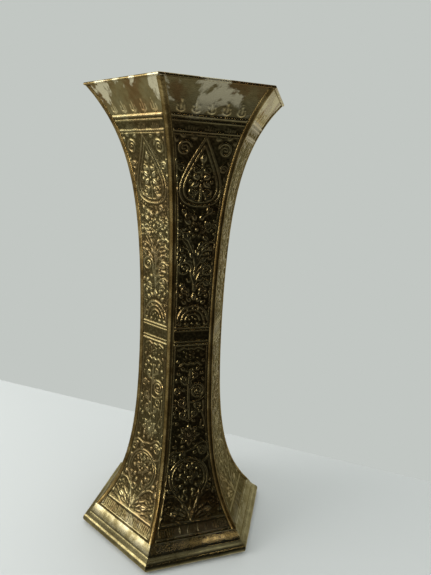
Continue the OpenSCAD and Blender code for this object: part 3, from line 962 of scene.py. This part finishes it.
# Pale patches near the mouth, and faintly at the foot: partly worn lacquer, partly a painted reflection of
# the pale wall.
bloom_and_painted_reflection = add(tree, NOISE, {"Vector": coords, "W": BLOOM_AND_REFLECTION_SEED, "Scale": 1 / (50 * MM), "Detail": 5.0,
                          "Roughness": 0.62, "Distortion": 0.4}, noise_dimensions="4D")
bloom_and_painted_reflection = add(tree, RANGE, {0: bloom_and_painted_reflection, 1: 0.52, 2: 0.555})
high = add(tree, RANGE, {0: level, 1: RIM_FOOT - 3 * MM, 2: RIM_FOOT + 19 * MM})
low = add(tree, RANGE, {0: level, 1: REED_TOP, 2: REED_TOP - 14 * MM, 4: 0.15})
where = add(tree, MATH, {0: high, 1: low}, operation="MAXIMUM")
bloom_and_painted_reflection = add(tree, MATH, {0: bloom_and_painted_reflection, 1: where}, operation="MULTIPLY")
skin = add(tree, MIX, {0: bloom_and_painted_reflection, 6: skin, 7: srgb("#cfc6a4")}, data_type="RGBA").outputs[2]
rough = add(tree, RANGE, {0: wear_and_painted_shade, 1: 0.0, 2: 0.8, 3: 0.27, 4: 0.16})
rough = add(tree, MATH, {0: mottle, 1: 0.1, 2: rough}, operation="MULTIPLY_ADD")
rough = add(tree, MATH, {0: bloom_and_painted_reflection, 1: 0.22, 2: rough}, operation="MULTIPLY_ADD")
fine = add(tree, MATH, {0: mottle, 1: 0.6, 2: grain}, operation="MULTIPLY_ADD")
bump = add(tree, "ShaderNodeBump", {"Strength": 0.5, "Distance": 0.35 * MM, "Height": fine})
shader = add(tree, BSDF, {"Base Color": skin, "Metallic": 1.0, "Specular Tint": BRASS_EDGE,
                          "Roughness": rough, "Normal": bump})
add(tree, SURFACE, {"Surface": shader})
print(embossed.name, len(tree.nodes), "nodes")

# %% [markdown]
# The corner strips, the plinth and the base plate are plain drawn, folded and rolled
# brass. One function makes all three, because only their colours, their roughness and
# their scratches differ. A strip is tarnished to a dull brown. The plinth's sloping band
# has lost its lacquer and gone grey in patches.

# %% Plain brass
def plain_brass(name, stops, rough_from, rough_to, patch_mm, scratch=0.3):
    """Tarnished brass whose colour wanders over patches of about patch_mm, and its shader."""
    material, tree = new_material(name)
    coords = add(tree, "ShaderNodeTexCoord").outputs["Object"]
    patches = add(tree, NOISE, {"Vector": coords, "Scale": 1000 / patch_mm, "Detail": 4.0,
                                "Roughness": 0.65})
    specks = add(tree, NOISE, {"Vector": coords, "Scale": 1 / (1.6 * MM), "Detail": 3.0})
    value = add(tree, MATH, {0: specks, 1: 0.35, 2: patches}, operation="MULTIPLY_ADD")
    value = add(tree, MATH, {0: value, 1: -0.17}, operation="ADD")
    skin = add(tree, RAMP, {0: value}, stops)
    rough = add(tree, RANGE, {0: value, 1: 0.3, 2: 0.7, 3: rough_from, 4: rough_to})
    bump = add(tree, "ShaderNodeBump", {"Strength": scratch, "Distance": 0.25 * MM, "Height": value})
    shader = add(tree, BSDF, {"Base Color": skin, "Metallic": 1.0, "Specular Tint": BRASS_EDGE,
                              "Roughness": rough, "Normal": bump})
    add(tree, SURFACE, {"Surface": shader})
    return material, shader


# Drawn half-round strip, soft-soldered: smooth, with brown heat colour in slow patches.
strip_brass, shader = plain_brass(
    "drawn brass strip, tarnished", [(0.3, "#3b2d15"), (0.5, "#6e5a33"), (0.68, "#a18c5a")],
    0.36, 0.22, 30)

# Rolled plate under the pan: never polished, stained by drips.
plate_brass, shader = plain_brass(
    "rolled brass plate, stained", [(0.3, "#3a2f1a"), (0.5, "#6f5d33"), (0.7, "#98834e")],
    0.6, 0.42, 30)

# Folded sheet: smooth, with the sloping band bare and grey from handling.
plinth_brass, shader = plain_brass(
    "folded sheet brass, worn grey", [(0.3, "#4c432a"), (0.5, "#766c4a"), (0.7, "#9c9168")],
    0.32, 0.2, 40, 0.12)
tree = plinth_brass.node_tree
coords = add(tree, "ShaderNodeTexCoord").outputs["Object"]
level = add(tree, "ShaderNodeSeparateXYZ", {0: coords}).outputs["Z"]
patches = add(tree, NOISE, {"Vector": coords, "Scale": 1 / (20 * MM), "Detail": 5.0, "Roughness": 0.7})
band = add(tree, RANGE, {0: level, 1: 16 * MM, 2: 19.5 * MM})
greyed = add(tree, RANGE, {0: patches, 1: 0.45, 2: 0.6, 4: 0.6})
greyed = add(tree, MATH, {0: greyed, 1: band}, operation="MULTIPLY")
old = shader.inputs["Base Color"].links[0].from_socket
skin = add(tree, MIX, {0: greyed, 6: old, 7: srgb("#9a9276")}, data_type="RGBA").outputs[2]
tree.links.new(skin, shader.inputs["Base Color"])
print([m.name for m in (strip_brass, plate_brass, plinth_brass)])

# %% [markdown]
# Two more metals are plain: the drawn steel wire in the rim and the tinned steel of the
# pan. Tin shows large soft crystals called spangle, which a Voronoi texture draws as cells
# of slightly different grey.

# %% Steel and tin
# Cold-drawn wire, oiled: an even soft grey, with brown spots where the oil has dried.
wire_steel, tree = new_material("drawn steel wire, oiled")
coords = add(tree, "ShaderNodeTexCoord").outputs["Object"]
rust = add(tree, NOISE, {"Vector": coords, "Scale": 1 / (8 * MM), "Detail": 4.0})
skin = add(tree, RAMP, {0: rust}, [(0.35, "#8b8b88"), (0.6, "#6f665a"), (0.75, "#5a4030")])
shader = add(tree, BSDF, {"Base Color": skin, "Metallic": 1.0, "Roughness": 0.4})
add(tree, SURFACE, {"Surface": shader})

# Hot-dipped tin over spun steel: 6 mm spangle, dulled by water, with rings left by the lathe.
tinned, tree = new_material("tinned steel, spun")
coords = add(tree, "ShaderNodeTexCoord").outputs["Object"]
spangle = add(tree, "ShaderNodeTexVoronoi", {"Vector": coords, "Scale": 1 / (6 * MM)})
stain = add(tree, NOISE, {"Vector": coords, "Scale": 1 / (20 * MM), "Detail": 4.0})
tone = add(tree, MATH, {0: spangle.outputs["Color"], 1: 0.35, 2: stain}, operation="MULTIPLY_ADD")
skin = add(tree, RAMP, {0: tone}, [(0.35, "#8f8f8a"), (0.6, "#b4b6b5"), (0.85, "#c9cbca")])
rough = add(tree, RANGE, {0: stain, 1: 0.3, 2: 0.7, 3: 0.5, 4: 0.3})
# A wave repeats every 2 pi / 20 of its unit, so these rings are about 7.5 mm apart.
rings = add(tree, "ShaderNodeTexWave", {"Vector": coords, "Scale": 1 / (1.2 * MM) / 20},
            wave_type="RINGS", rings_direction="Z")
bump = add(tree, "ShaderNodeBump", {"Strength": 0.15, "Distance": 0.1 * MM, "Height": rings})
shader = add(tree, BSDF, {"Base Color": skin, "Metallic": 1.0, "Roughness": rough, "Normal": bump})
add(tree, SURFACE, {"Surface": shader})
print(wire_steel.name, "and", tinned.name)

# %% [markdown]
# ## Making the pieces
# A tree is only a recipe. For each piece an empty host object carries it as a modifier,
# gets its own turn and seed, and is evaluated once. What comes out is copied to a plain
# mesh, and the host goes. A modifier's inputs are found by the identifiers of their
# sockets, because two inputs may share a name.

# %% Bake a tree to a mesh
def smooth_piece(name, mesh, sharp):
    """An object with a smooth mesh, whose edges sharper than sharp degrees stay crisp."""
    mesh.shade_smooth()
    mesh.set_sharp_from_angle(angle=math.radians(sharp))
    return put(name, mesh)


def make_piece(name, tree, values, sharp):
    """A plain mesh object made by a geometry tree whose inputs get the named values."""
    host = put(name + "_host", bpy.data.meshes.new(name + "_host"))
    modifier = host.modifiers.new(tree.name, "NODES")
    modifier.node_group = tree
    for item in tree.interface.items_tree:
        if item.in_out == "INPUT" and item.name in values:
            modifier[item.identifier] = values[item.name]
    host.update_tag()
    graph = bpy.context.evaluated_depsgraph_get()
    mesh = bpy.data.meshes.new_from_object(host.evaluated_get(graph), depsgraph=graph)
    bpy.data.objects.remove(host)
    mesh.name = name
    return smooth_piece(name, mesh, sharp)


for i, name in enumerate(SIDES):
    turn = math.radians(60 * i - 30)
    panel = make_piece("pressed_panel_" + name, panel_tree, {
        "Strokes": die_strokes, "Shapes": die_shapes, "Cuts": die_cuts, "Material": embossed,
        "Turn": turn, "Seed": 3.7 * i}, 80)
    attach(panel, "stand")
    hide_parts("panel_" + name)
    moulding = make_piece("plinth_moulding_" + name, plinth_tree, {
        "Section": plinth_section, "Material": plinth_brass, "Turn": turn, "Seed": 11 + 2.3 * i}, 40)
    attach(moulding, "stand")
    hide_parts("plinth_" + name)
for i, name in enumerate(CORNERS):
    strip = make_piece("corner_strip_" + name, strip_tree, {
        "Material": strip_brass, "Turn": math.radians(60 * i), "Seed": 23 + 1.9 * i}, 50)
    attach(strip, "stand")
    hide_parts("corner_bead_" + name)
for tool in (die_strokes, die_shapes, die_cuts, plinth_section):
    bpy.data.objects.remove(tool)
print("panel:", len(panel.data.polygons), "faces, moulding:", len(moulding.data.polygons),
      "faces, strip:", len(strip.data.polygons), "faces")

# %% [markdown]
# ## The drip pan
# The pan is spun from a disc on a lathe: a tool presses the disc over a wooden form, and
# the lip is rolled outwards over itself. Blender's Spin does the same with a section, and
# this one has pressed rings in its floor that keep the thin sheet flat. Spinning leaves
# doubled points on the axis, so they are merged before the normals are set.

# %% Drip pan
pan_low, pan_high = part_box("drip_pan")
PAN_SHEET, PAN_CORNER, LIP_R = 0.8 * MM, 4 * MM, 1.4 * MM
PAN_R = pan_high.x - LIP_R
FLOOR, LIP_Z = pan_low.z, pan_high.z - LIP_R


def pan_line(skin):
    """The pan's line from its centre to its lip, skin inside its outer face."""
    line = [(0.0, FLOOR + skin)]
    for radius in (12 * MM, 24 * MM, 34 * MM):
        line += [(radius - 1.6 * MM, FLOOR + skin), (radius - 0.5 * MM, FLOOR + skin + 0.9 * MM),
                 (radius + 0.5 * MM, FLOOR + skin + 0.9 * MM), (radius + 1.6 * MM, FLOOR + skin)]
    bend = PAN_CORNER - skin
    for t in range(-90, 1, 15):
        turn = math.radians(t)
        line.append((PAN_R - PAN_CORNER + bend * math.cos(turn), FLOOR + PAN_CORNER + bend * math.sin(turn)))
    return line


lip = [(PAN_R + LIP_R * math.cos(math.radians(t)), LIP_Z + LIP_R * math.sin(math.radians(t)))
       for t in range(-110, 171, 20)]
shell = bmesh.new()
ring_points = [shell.verts.new((x, 0, z)) for x, z in pan_line(0) + lip + pan_line(PAN_SHEET)[::-1]]
loop = [shell.edges.new(pair_of) for pair_of in zip(ring_points, ring_points[1:])]
bmesh.ops.spin(shell, geom=ring_points + loop, cent=(0, 0, 0), axis=(0, 0, 1), steps=96,
               angle=2 * math.pi, use_merge=True)
bmesh.ops.remove_doubles(shell, verts=shell.verts, dist=0.01 * MM)
bmesh.ops.recalc_face_normals(shell, faces=shell.faces)
pan_mesh = bpy.data.meshes.new("spun_drip_pan")
shell.to_mesh(pan_mesh)
shell.free()
pan_mesh.materials.append(tinned)
pan = smooth_piece("spun_drip_pan", pan_mesh, 50)
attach(pan, "drip_pan")
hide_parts("drip_pan")
print("pan:", len(pan_mesh.polygons), "faces")

# %% [markdown]
# The rim wire and the base plate keep their engineering shapes, because a wire inside a
# roll and a flat plate under a pan need nothing more. They only get their finishes.

# %% Finishes for the pieces that stay
for node, material in (("rim_wire", wire_steel), ("base_plate", plate_brass)):
    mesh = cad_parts[node].data
    mesh.materials.clear()
    mesh.materials.append(material)
print("kept as modelled: rim_wire and base_plate")

# %% [markdown]
# ## Shelf and wall
# The stand is on a pale shelf in front of a pale wall. The shelf takes the light and the
# shadows like any painted board. The wall is a plane that glows evenly in its own colour,
# so it lights nothing and its tone doesn't depend on the lamps. Seen from behind it is
# clear. Neither shows in the metal, which has its own surroundings to mirror.

# %% Shelf and wall
WALL_SEEN = srgb("#c2c7c3")


def backdrop(name, corners):
    """A large plain plane that shines in no metal."""
    mesh = bpy.data.meshes.new(name)
    mesh.from_pydata(corners, [], [(0, 1, 2, 3)])
    piece = put(name, mesh)
    piece.visible_glossy = False
    return piece


shelf = backdrop("shelf", [(-5, -5, 0), (5, -5, 0), (5, 5, 0), (-5, 5, 0)])
# Water-based paint on board: matt, with the faintest sheen.
shelf_paint, tree = new_material("Shelf paint, eggshell")
coat = add(tree, BSDF, {"Base Color": srgb("#bec0be"), "Roughness": 0.7})
add(tree, SURFACE, {"Surface": coat})
shelf.data.materials.append(shelf_paint)

WALL_LEFT, WALL_RIGHT, WALL_TOP = (-4.89, 4.24), (4.11, -2.99), 4
wall = backdrop("wall", [(*WALL_LEFT, 0), (*WALL_RIGHT, 0), (*WALL_RIGHT, WALL_TOP), (*WALL_LEFT, WALL_TOP)])
wall.visible_diffuse = wall.visible_shadow = False
wall_paint, tree = new_material("Wall paint, even")
even = add(tree, "ShaderNodeEmission", {"Color": WALL_SEEN})
clear = add(tree, "ShaderNodeBsdfTransparent")
back = add(tree, "ShaderNodeNewGeometry").outputs["Backfacing"]
coat = add(tree, "ShaderNodeMixShader", {0: back, 1: even, 2: clear})
add(tree, SURFACE, {"Surface": coat})
wall.data.materials.append(wall_paint)
print("shelf and wall in place")

# %% [markdown]
# ## Light
# Metal shows its surroundings more than its own colour, so each light is chosen for what a
# side mirrors. A bright window stands to the left, a pale wall behind on the right, and a
# ceiling above. The room in front is dark, and so is the front of the stand, but for the
# glints of a small lamp in front on the left. That lamp lights no dull surface, or it
# would burn out the shelf. Area lights that the camera doesn't see stand for all of them.
#
# The world is the rest of the room, and shows each kind of ray what it needs. Metal sees a
# room that grows dark towards the front, with a little light from low down. The shelf gets
# an even fill. The camera sees the colour of the wall.

# %% Lights
def softbox(name, place, aim, size, power, colour, lights_shelf=True):
    """A square area light that the camera doesn't see, and that may show only in metal."""
    lamp = bpy.data.lights.new(name, "AREA")
    lamp.size = size
    lamp.energy = power
    lamp.color = srgb(colour)[:3]
    holder = put(name, lamp)
    holder.location = place
    holder.rotation_mode = "QUATERNION"
    holder.rotation_quaternion = (Vector(aim) - Vector(place)).to_track_quat("-Z", "Y")
    holder.visible_camera = False
    holder.visible_diffuse = lights_shelf


softbox("window_left", (-1.3, 0.1, 0.75), (0, 0, 0.3), 0.8, 12, "#ffffff")
softbox("wall_right", (0.55, 1.35, 0.5), (0, 0, 0.35), 2.2, 5, "#eef3f6")
softbox("ceiling", (-0.3, 0.5, 2.2), (0, 0, 0.3), 1.4, 11, "#f4f7fa")
softbox("lamp_left", (-0.85, -1.1, 0.5), (0, 0, 0.35), 0.3, 8.5, "#fffaf0", lights_shelf=False)
softbox("far_lamp", (0.9, -2.4, 1.2), (0, 0, 0.3), 0.2, 1, "#ffe9c8")

DARK_SIDE = (0.26, -0.88, 0.0)               # the way to the dark end of the room
ROOM_BRIGHT, ROOM_DARK = 0.72, 0.03
world = bpy.data.worlds.new("pale_room")
bpy.context.scene.world = world
world.use_nodes = True
tree = world.node_tree
tree.nodes.clear()
seen = add(tree, "ShaderNodeBackground", {"Color": WALL_SEEN})
way = add(tree, "ShaderNodeTexCoord").outputs["Generated"]
front = add(tree, "ShaderNodeVectorMath", {0: way, 1: DARK_SIDE}, operation="DOT_PRODUCT")
climb = add(tree, "ShaderNodeSeparateXYZ", {0: way}).outputs["Z"]
steep = add(tree, MATH, {0: climb}, operation="ABSOLUTE")
front = add(tree, MATH, {0: steep, 1: 0.4, 2: front.outputs["Value"]}, operation="MULTIPLY_ADD")
dim = add(tree, RANGE, {0: front, 1: 0.35, 2: 0.9, 3: ROOM_BRIGHT, 4: ROOM_DARK})
below = add(tree, RANGE, {0: climb, 1: -0.3, 2: -0.85, 4: 0.27})
dim = add(tree, MATH, {0: dim, 1: below}, operation="ADD")
room = add(tree, "ShaderNodeBackground", {"Color": srgb("#dfe3e4"), "Strength": dim})
rays = add(tree, "ShaderNodeLightPath")
fill = add(tree, "ShaderNodeBackground", {"Color": srgb("#c9cdcb"), "Strength": 1.5})
mixed = add(tree, "ShaderNodeMixShader", {0: rays.outputs["Is Diffuse Ray"], 1: room, 2: fill})
mixed = add(tree, "ShaderNodeMixShader", {0: rays.outputs["Is Camera Ray"], 1: mixed, 2: seen})
add(tree, "ShaderNodeOutputWorld", {"Surface": mixed})
bpy.context.scene.view_settings.view_transform = "Standard"
